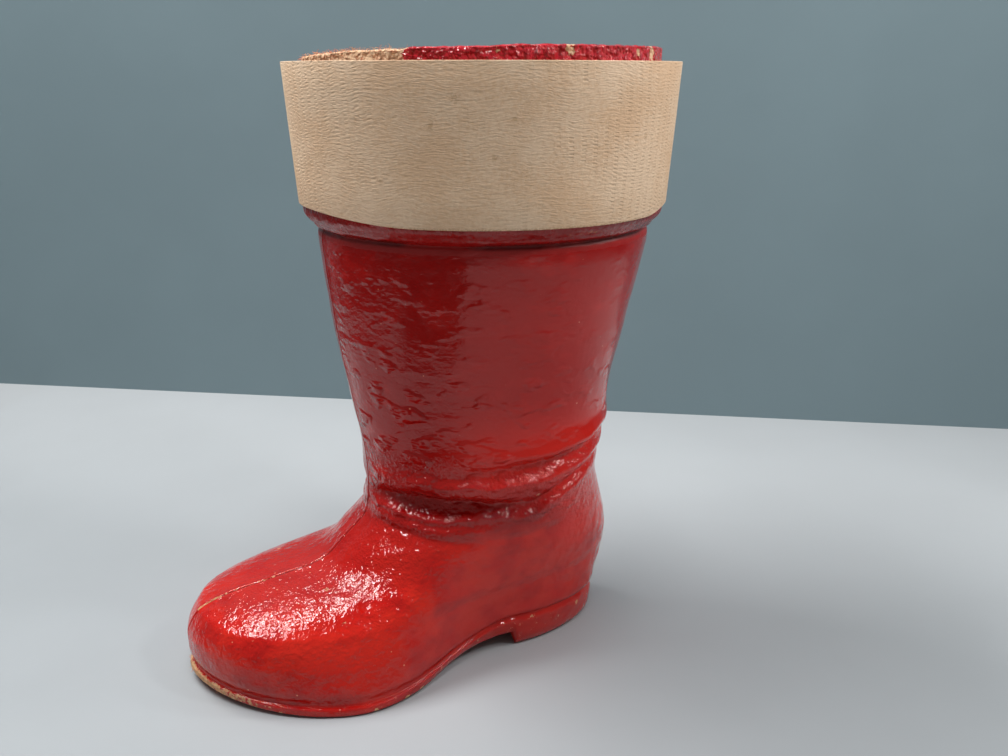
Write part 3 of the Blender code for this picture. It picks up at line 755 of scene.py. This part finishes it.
def cuffGroup(material):
    f = cuffMesh
    wire, given = newGroup("rolledCard", cuff)
    line = wire.node("GeometryNodeMeshLine", None, {"Count": f["steps"]})
    swept = wire.node("GeometryNodeInputIndex") / (f["steps"] - 1) * (360 + given["Lap Length"])
    bearing = (given["Lap Start"] + swept) * math.radians(1)
    rise = ((swept - given["Lap Foot"]) / given["Lap Rise"]).step(0, 1)
    radius = (given["Foot Radius"] + rise * (given["Thickness"] + given["Lap Gap"])) * mm
    spot = wire.joined(bootForm["legX"] * mm - radius * bearing.maths("COSINE", bearing),
                       radius * bearing.maths("SINE", bearing), given["Foot Height"] * mm)
    line = wire.node("GeometryNodeSetPosition", None, {0: line, "Position": spot})
    path = wire.node("GeometryNodeMeshToCurve", None, {0: line})
    path = wire.node("GeometryNodeSetCurveNormal", {"mode": "Z_UP"}, {0: path})
    slant = given["Top Radius"] - given["Foot Radius"]
    tallness = given["Top Height"] - given["Foot Height"]
    corners = {f"Point {i + 1}": wire.joined((given["Thickness"] * outward + slant * upward) * -mm,
                                             tallness * upward * -mm, 0.0)
               for i, (outward, upward) in enumerate([(-0.5, 0), (0.5, 0), (0.5, 1), (-0.5, 1)])}
    section = wire.node("GeometryNodeCurvePrimitiveQuadrilateral", {"mode": "POINTS"}, corners)
    section = wire.node("GeometryNodeFilletCurve", {"mode": "POLY"},
                        {0: section, "Count": f["cornerSteps"], "Radius": f["corner"] * mm})
    section = wire.node("GeometryNodeSubdivideCurve", None, {0: section, "Cuts": f["cuts"]})
    band = wire.node("GeometryNodeCurveToMesh", None, {0: path, 1: section, "Fill Caps": True})
    where = wire.node("GeometryNodeInputPosition")
    wave = where.noise(1 / f["waveScale"], 1.0) - 0.5
    away = where.vector("SUBTRACT", where, (bootForm["legX"] * mm, 0, 0))
    away = away.vector("MULTIPLY", away, (1, 1, 0))
    away = away.vector("NORMALIZE", away)
    band = band.moved(away.scaled(wave * given["Wave"] * mm))

    # the lower edge isn't quite level: it hangs at the near side and rises over the toe and the heel
    along, aside = away.axes()[:2]
    dip = (0 - along * 0.3 - aside).step(*f["sideDip"]) * given["Side Dip"]
    lift = (aside * 0.45 - along).step(*f["toeLift"]) * given["Toe Lift"]
    lift = lift + (along * 0.9 - aside * 0.44).step(*f["heelLift"]) * given["Heel Lift"]
    low = (where.axes()[2] / mm).fall(*f["liftFade"])
    return endGroup(band.moved(wire.joined(0.0, 0.0, (lift - dip) * low * mm)), material)


card = {
    "cream": (0.8, 0.525, 0.325, 1), "light": (0.88, 0.635, 0.435, 1), "shade": (0.56, 0.36, 0.21, 1),
    "stainAndShade": (0.42, 0.22, 0.09, 1), "roughness": 0.72, "paper": {"IOR": 1.45, "Specular IOR Level": 0.3},
    "middleRadius": 70, "bend": [(9, 36), (1.3, 7, 1)], "fineCrease": (3.4, 0.8, 2),
    "shortCrease": (2.6, 0.62, 1.5), "columnWidth": 4.6, "columnWander": 1.2, "columnEdge": (0.12, 0.24),
    "tickHeight": 1.25, "tickEdge": (0.1, 0.3), "backColumns": (118, 150), "frontColumns": (30, 55),
    "fineDepth": 0.045, "shortDepth": 0.28, "tickDepth": 0.12, "fuzz": [(0.03, 0.4)], "bulges": [(0.25, 9)],
    "edgeFoot": 172, "edgeReach": (1.2, 2.4), "stainStrength": 0.42,
    "stains": [(61, 214, 2.6), (55, 206, 2.4), (76, 208, 1.6), (71, 196, 1.8), (40, 188, 1.4),
               (118, 201, 1.8)],
}


def cardFinish():  # arc is the way round the band in millimetres, near its middle
    f = card
    material, place = newFinish("embossedCard")
    x, y, z = place.axes()
    arc = y.maths("ARCTAN2", y, bootForm["legX"] - x) * f["middleRadius"]
    sheet = arc.joined(arc, z, 0.0)
    bent = z + place.layers(f["bend"])

    def creases(length, height, detail):
        return arc.joined(arc / length, bent / height, place.noise(40, 0) * 4).noise(1.0, detail, 0.55, 0.3)

    fine = (1 - (creases(*f["fineCrease"]) - 0.5).size() * 7).step(0, 1) * place.noise(2.4).step(0.4, 0.62)
    short = creases(*f["shortCrease"])

    # columns of small ticks that the grain roller left, mostly at the back and the front
    column = arc.maths("FRACT", arc / f["columnWidth"] + place.noise(30, 1) * f["columnWander"])
    tick = bent.maths("FRACT", bent / f["tickHeight"])
    ticks = (column - 0.5).size().fall(*f["columnEdge"]) * (tick - 0.5).size().fall(*f["tickEdge"])
    zone = arc.size().step(*f["backColumns"]) * 0.22 + arc.size().fall(*f["frontColumns"]) * 0.14
    ticks = ticks * (place.noise(17) + zone).step(0.5, 0.64)

    tone = place.noise(24, 3) * 0.55 + sheet.noise(1.3, 3, 0.6) * 0.45
    colour = tone.step(0.38, 0.62).between(f["cream"], f["light"])
    # painted shade: the ticks' dents and the short creases' troughs are drawn darker in the shade colour
    colour = (ticks * 0.14 + short.fall(0.3, 0.5) * 0.16).between(colour, f["shade"])
    spots = sheet.noise(5, 4, 0.65).step(0.66, 0.76) * 0.16
    for bearing, height, radius in f["stains"]:
        middle = (-math.radians(bearing) * f["middleRadius"], height, 0)
        away = sheet.vector("DISTANCE", sheet, middle, out="Value") / radius
        spots = spots + (away + sheet.noise(1.0, 3, 0.65) * 2.4 - 1.0).fall(0.2, 1) * f["stainStrength"]
    colour = spots.between(colour, f["stainAndShade"])
    # darker along the lower edge: fraying card, and painted shade of the cut edge
    edge = (z - f["edgeFoot"]).fall(*f["edgeReach"]) * sheet.noise(0.8).step(0.35, 0.6) * 0.6
    colour = edge.between(colour, f["stainAndShade"])
    height = fine * f["fineDepth"] + short * f["shortDepth"] - ticks * f["tickDepth"]
    height = height + sheet.layers(f["fuzz"]) + place.layers(f["bulges"])
    return finish(material, colour, f["roughness"], height, f["paper"])


band = newPiece("cuffBand", bpy.data.meshes.new("cuffBand"))
runGroup(band, cuffGroup(cardFinish()), cuff)
smooth(band)
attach(band, "root")
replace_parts(band, "cuff_band")
print("cuff", len(band.data.polygons), "faces")


# Strips of brown paper, glued over the joint inside: torn edges, wrinkles and lifted corners.
seamPaper = {"halfWidth": 7.0, "tear": 0.8, "gap": 0.35, "columns": 16, "step": 1.6, "foot": 10.0,
             "top": 224.0, "toeEnd": 3.5, "thickness": 0.3, "sharpAngle": 50,
             "brown": (0.46, 0.3, 0.16, 1), "dark": (0.28, 0.17, 0.08, 1),
             "tearWaves": [(0.21, 0.5), (0.53, 0.3), (1.37, 0.22), (2.9, 0.16)]}
crumples = {"Crumple": 1.1, "Crumple Size": 5.0}


def tornEdge(along, phase):
    return seamPaper["tear"] * sum(size * np.sin(rate * along + phase * (i + 1))
                                   for i, (rate, size) in enumerate(seamPaper["tearWaves"]))


def wallStrip(turns):  # turns run from the seam to the side
    rows = []
    for height in np.arange(seamPaper["foot"], seamPaper["top"], seamPaper["step"]):
        sides = []
        for side, phase in [("far", 0.4), ("near", 2.1)]:
            line = insideLine(side, height, turns, seamPaper["gap"])
            line = line[np.argsort(line[:, 1])]
            reach = seamPaper["halfWidth"] + tornEdge(height, phase)
            across = np.linspace(0, reach, seamPaper["columns"] // 2 + 1)
            sides.append(np.stack([np.interp(across, line[:, 1], axis) for axis in line.T], axis=1))
        near = sides[1] * [1, -1, 1]
        rows.append(np.concatenate([near[:0:-1], sides[0]]))
    return np.array(rows)


def floorStrip():
    inner = insideRows("near", wornPlaces["near"])[0]
    middle = floorRungs(inner[0], liningBreast, bootForm["floorThickness"])[:, -1]
    low, high = middle[0, 0] + seamPaper["toeEnd"], middle[-1, 0] - seamPaper["toeEnd"]
    middle = middle[(middle[:, 0] > low) & (middle[:, 0] < high)]
    slope = np.gradient(middle, axis=0)
    up = np.stack([-slope[:, 2], slope[:, 1], slope[:, 0]], axis=1)
    middle = middle + up / np.linalg.norm(up, axis=1, keepdims=True) * seamPaper["gap"]
    share = np.linspace(-1, 1, seamPaper["columns"] + 1)[None]
    torn = np.where(share < 0, tornEdge(middle[:, :1], 0.9), tornEdge(middle[:, :1], 2.7))
    reach = seamPaper["halfWidth"] + torn
    return np.stack([middle[:, :1] + 0 * share, share * reach, middle[:, 2:] + 0 * share], axis=2)


def kraftFinish():
    f = seamPaper
    material, place = newFinish("kraftPaper")
    fibres = place.stretched(1, 1, 2.5).noise(0.7, 4, 0.65, 0.6)
    tone = fibres * 0.5 + place.noise(9, 3) * 0.5
    colour = tone.step(0.36, 0.64).between(f["dark"], f["brown"])
    return finish(material, colour, fibres.step(0.3, 0.7, 0.75, 0.95),
                  fibres * 0.12 + place.noise(3.5, 3) * 0.5, {"Specular IOR Level": 0.25})


def crumpleGroup(material):
    wire, given = newGroup("crumpledPaper", crumples, "Sheet")
    bumps = wire.node("GeometryNodeInputPosition").scaled(1 / mm).noise(given["Crumple Size"]) - 0.3
    lift = bumps.maths("MAXIMUM", bumps, 0.0) * given["Crumple"] * mm
    return endGroup(given["Sheet"].moved(wire.node("GeometryNodeInputNormal").scaled(lift)), material)


def stripPiece(name, rows, inward, crumple):
    table = np.arange(rows[..., 0].size).reshape(rows.shape[:2])
    place = (rows.reshape(-1, 3) + [bootForm["legX"], 0, 0]) * mm
    mesh = newMesh(name, place.tolist(), cells(table).tolist())
    if mesh.polygons[len(mesh.polygons) // 2].normal.dot(Vector(inward)) < 0:
        mesh.flip_normals()
    piece = newPiece(name, mesh)
    thickness = piece.modifiers.new("thickness", "SOLIDIFY")
    thickness.thickness = seamPaper["thickness"] * mm
    thickness.offset = 1
    runGroup(piece, crumple, crumples)
    smooth(piece, seamPaper["sharpAngle"])
    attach(piece, "root")
    return piece


crumple = crumpleGroup(kraftFinish())
strips = [("frontSeamPaper", wallStrip(np.linspace(0, np.pi / 2, 120)), (1, 0, 0), "front_seam_paper"),
          ("backSeamPaper", wallStrip(np.linspace(np.pi, np.pi / 2, 120)), (-1, 0, 0), "back_seam_paper"),
          ("soleSeamPaper", floorStrip(), (0, 0, 1), "sole_seam_paper")]
for name, rows, inward, node in strips:
    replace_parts(stripPiece(name, rows, inward, crumple), node)
print("seam papers done")


# Loose fibres where the pulp is torn open at the rim and scuffed at the toe.
fibre = {"Density": 1300000.0, "Length": 0.9, "Thickness": 0.05, "Seed": 4}
threadForm = {"Resolution": 6, "Start": (0, 0, 0), "Start Handle": (0, 0, 0.0006),
              "End Handle": (0.0008, 0.0002, 0.0009), "End": (0.0011, 0.0006, 0.0004)}
threadSpread = {"torn": (0.7, 0.95), "rim": (226, 228), "toe": (6, 8), "toeShare": 0.35, "lean": 1.2,
                "sizes": (0.35, 1.5), "sharpAngle": 60}


def fibreGroup(material):
    f = threadSpread
    wire, given = newGroup("pulpFibres", fibre, "Shell")
    wear, tall, inner = meshFields(wire, "wear", "tall", "inner")
    torn = wear.step(*f["torn"]) * (tall.step(*f["rim"]) + tall.fall(*f["toe"]) * f["toeShare"]) * (1 - inner)
    points = wire.node("GeometryNodeDistributePointsOnFaces", None,
                       {0: given["Shell"], "Density": given["Density"] * torn, "Seed": given["Seed"]})
    line = wire.node("GeometryNodeCurvePrimitiveBezierSegment", None, threadForm)
    ring = wire.node("GeometryNodeCurvePrimitiveCircle", None,
                     {"Resolution": 4, "Radius": given["Thickness"] * mm})
    thread = wire.node("GeometryNodeCurveToMesh", None, {0: line, 1: ring, "Fill Caps": True})
    spin = wire.node("FunctionNodeRandomValue", {"data_type": "FLOAT_VECTOR"}, {
        0: (-f["lean"], -f["lean"], 0.0), 1: (f["lean"], f["lean"], 6.283), "Seed": given["Seed"]})
    low, high = f["sizes"]
    size = wire.node("FunctionNodeRandomValue", {"data_type": "FLOAT"},
                     {2: low, 3: high, "Seed": given["Seed"]}, out=1)
    placed = wire.node("GeometryNodeInstanceOnPoints", None, {
        0: points, "Instance": thread, "Rotation": wire.node("FunctionNodeEulerToRotation", None, {0: spin}),
        "Scale": size * given["Length"]})
    return endGroup(placed, material)


def pulpFinish():
    material, place = newFinish("loosePulp")
    colour = place.noise(2.2).step(0.35, 0.65).between(lacquer["primer"], lacquer["pulp"])
    return finish(material, colour, 0.9, place.noise(0.4, 1) * 0.05)


fibres = fibreGroup(pulpFinish())
for name, half in zip(("leftFibres", "rightFibres"), halves):
    threads = newPiece(name, half.data.copy())
    runGroup(threads, fibres, fibre)
    smooth(threads, threadSpread["sharpAngle"])
    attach(threads, "root")
    print(name, len(threads.data.polygons), "faces")


# Floor, backdrop, light and camera.
room = {"floor": (0.4, 0.425, 0.44, 1), "wall": (0.185, 0.255, 0.28, 1), "shadeSheet": (0.01, 0.01, 0.01, 1),
        "sky": (0.53, 0.54, 0.55, 1), "skyLight": 0.36, "floorReach": 3, "floorPaintedLight": 0.17,
        "paintedLightRange": (-40, 330),
        "wallLine": [(-0.051, 0.378), (0.292, 0.168)], "wallHeight": 1.2, "wallLength": 2.4,
        "shadeSheetEdge": [(-0.9, -1.2), (-0.55, -1.2), (-0.155, -0.285), (-0.09, -0.16), (-0.19, -0.05),
                      (-0.28, -0.06), (-0.29, 0.1), (-0.26, 0.22), (-0.18, 0.38), (0.0, 0.7), (-0.9, 0.7)]}


def stageFinish(name, shade, roughness, lift=0.0):  # lift makes it paler away from the camera's left
    material, place = newFinish(name)
    dim = tuple(c * 0.96 for c in shade[:3]) + (1,)
    colour = place.noise(90, 3).step(0.3, 0.7).between(dim, shade)
    x, y = place.axes()[:2]
    # painted light: the floor drawn paler towards the back and the right, where the light pools
    paintedLightMask = (y + x * 0.9 + place.noise(120) * 60).step(*room["paintedLightRange"])
    colour = (paintedLightMask * lift).between(colour, (1, 1, 1, 1))
    return finish(material, colour, roughness, place.noise(60) * 0.4)


def flatPiece(name, corners, material):
    mesh = newMesh(name, corners, [range(len(corners))])
    mesh.materials.append(material)
    piece = newPiece(name, mesh)
    return piece


def backdropFinish():  # seen and lit only from its front
    material = stageFinish("paperBackdrop", room["wall"], 0.7)
    tree = material.node_tree
    end = tree.nodes["Material Output"]
    paper = Wire(tree, end.inputs["Surface"].links[0].from_socket)
    clear = paper.node("ShaderNodeBsdfTransparent")
    back = paper.node("ShaderNodeNewGeometry", out="Backfacing")
    mixed = paper.node("ShaderNodeMixShader", None, {0: back, 1: paper, 2: clear})
    tree.links.new(mixed.socket, end.inputs["Surface"])
    return material


edge = room["floorReach"]
flatPiece("floor", [(-edge, -edge, 0), (edge, -edge, 0), (edge, edge, 0), (-edge, edge, 0)],
          stageFinish("paperFloor", room["floor"], 0.6, room["floorPaintedLight"]))

# A near-black sheet beside the boot that only its gloss sees: a painted reflection of shade, so that the leg
# mirrors dark as well as pale.
shadeSheet = flatPiece("reflectedShadeSheet", [(x, y, 0.001) for x, y in room["shadeSheetEdge"]],
                  stageFinish("reflectedShadeSheet", room["shadeSheet"], 0.9))
shadeSheet.visible_camera = shadeSheet.visible_diffuse = shadeSheet.visible_shadow = False

first, last = (Vector((*point, 0)) for point in room["wallLine"])
along = (last - first).normalized() * room["wallLength"] / 2
centre, rise = (first + last) / 2, Vector((0, 0, room["wallHeight"]))
flatPiece("backdrop", [centre - along, centre + along, centre + along + rise, centre - along + rise],
          backdropFinish())

lamps = {
    "ceilingLamp": {"power": 12.5, "size": 0.96, "length": 0.15, "place": (-0.33, 0.3, 0.95), "aim": 0.1,
                    "shines": True},
    "secondLamp": {"power": 2.4, "size": 0.24, "place": (-0.05, -0.26, 1.01), "aim": 0.1, "shines": False},
    "sideLamp": {"power": 0.5, "size": 0.075, "place": (0.35, -0.16, 0.4), "aim": 0.2, "shines": True},
    "fillLamp": {"power": 0.75, "size": 0.066, "place": (0.3, -0.35, 0.52), "aim": 0.1, "shines": True},
}
for name, lamp in lamps.items():
    light = bpy.data.lights.new(name, "AREA")
    light.shape = "ELLIPSE"
    light.size = lamp["size"]
    light.size_y = lamp.get("length", lamp["size"])
    light.energy = lamp["power"]
    softbox = newPiece(name, light)
    softbox.visible_glossy = lamp["shines"]
    softbox.location = lamp["place"]
    away = softbox.location - Vector((0, 0, lamp["aim"]))
    softbox.rotation_euler = away.to_track_quat("Z", "Y").to_euler()

world = bpy.data.worlds.new("studio")
world.use_nodes = True
world.node_tree.nodes.clear()
air = Wire(world.node_tree).node("ShaderNodeBackground", None,
                                 {"Color": room["sky"], "Strength": room["skyLight"]})
end = world.node_tree.nodes.new("ShaderNodeOutputWorld")
world.node_tree.links.new(air.socket, end.inputs[0])
bpy.context.scene.world = world
bpy.context.scene.view_settings.view_transform = "Standard"

# The photograph's view, found from the cuff's two edges, the leg and the sole. Its focal length, the
# horizon above its middle and the leg's axis beside it are in pixels.
view = {"focal": 1036.6, "frameWidth": 1008, "sensor": 36, "distance": 395.9, "height": 221.76,
        "bearing": -22.0, "horizon": 306.81, "leg": -21.8}
pitch = math.atan(view["horizon"] / view["focal"])
bearing = math.radians(view["bearing"])
spot = Vector((math.sin(bearing) * view["distance"], -math.cos(bearing) * view["distance"], view["height"]))
heading = math.atan2(-spot.y, -spot.x) + math.atan(view["leg"] / view["focal"] * math.cos(pitch))
ahead = Vector((math.cos(heading) * math.cos(pitch), math.sin(heading) * math.cos(pitch), -math.sin(pitch)))
right = Vector((math.sin(heading), -math.cos(heading), 0))
upward = right.cross(ahead)
lens = bpy.data.cameras.new("camera")
lens.sensor_width = view["sensor"]
lens.lens = view["focal"] / view["frameWidth"] * view["sensor"]
camera = newPiece("camera", lens)
camera.matrix_world = Matrix(((right.x, upward.x, -ahead.x, (spot.x + bootForm["legX"]) * mm),
                              (right.y, upward.y, -ahead.y, spot.y * mm),
                              (right.z, upward.z, -ahead.z, spot.z * mm), (0, 0, 0, 1)))
bpy.context.scene.camera = camera
print("light and camera set")
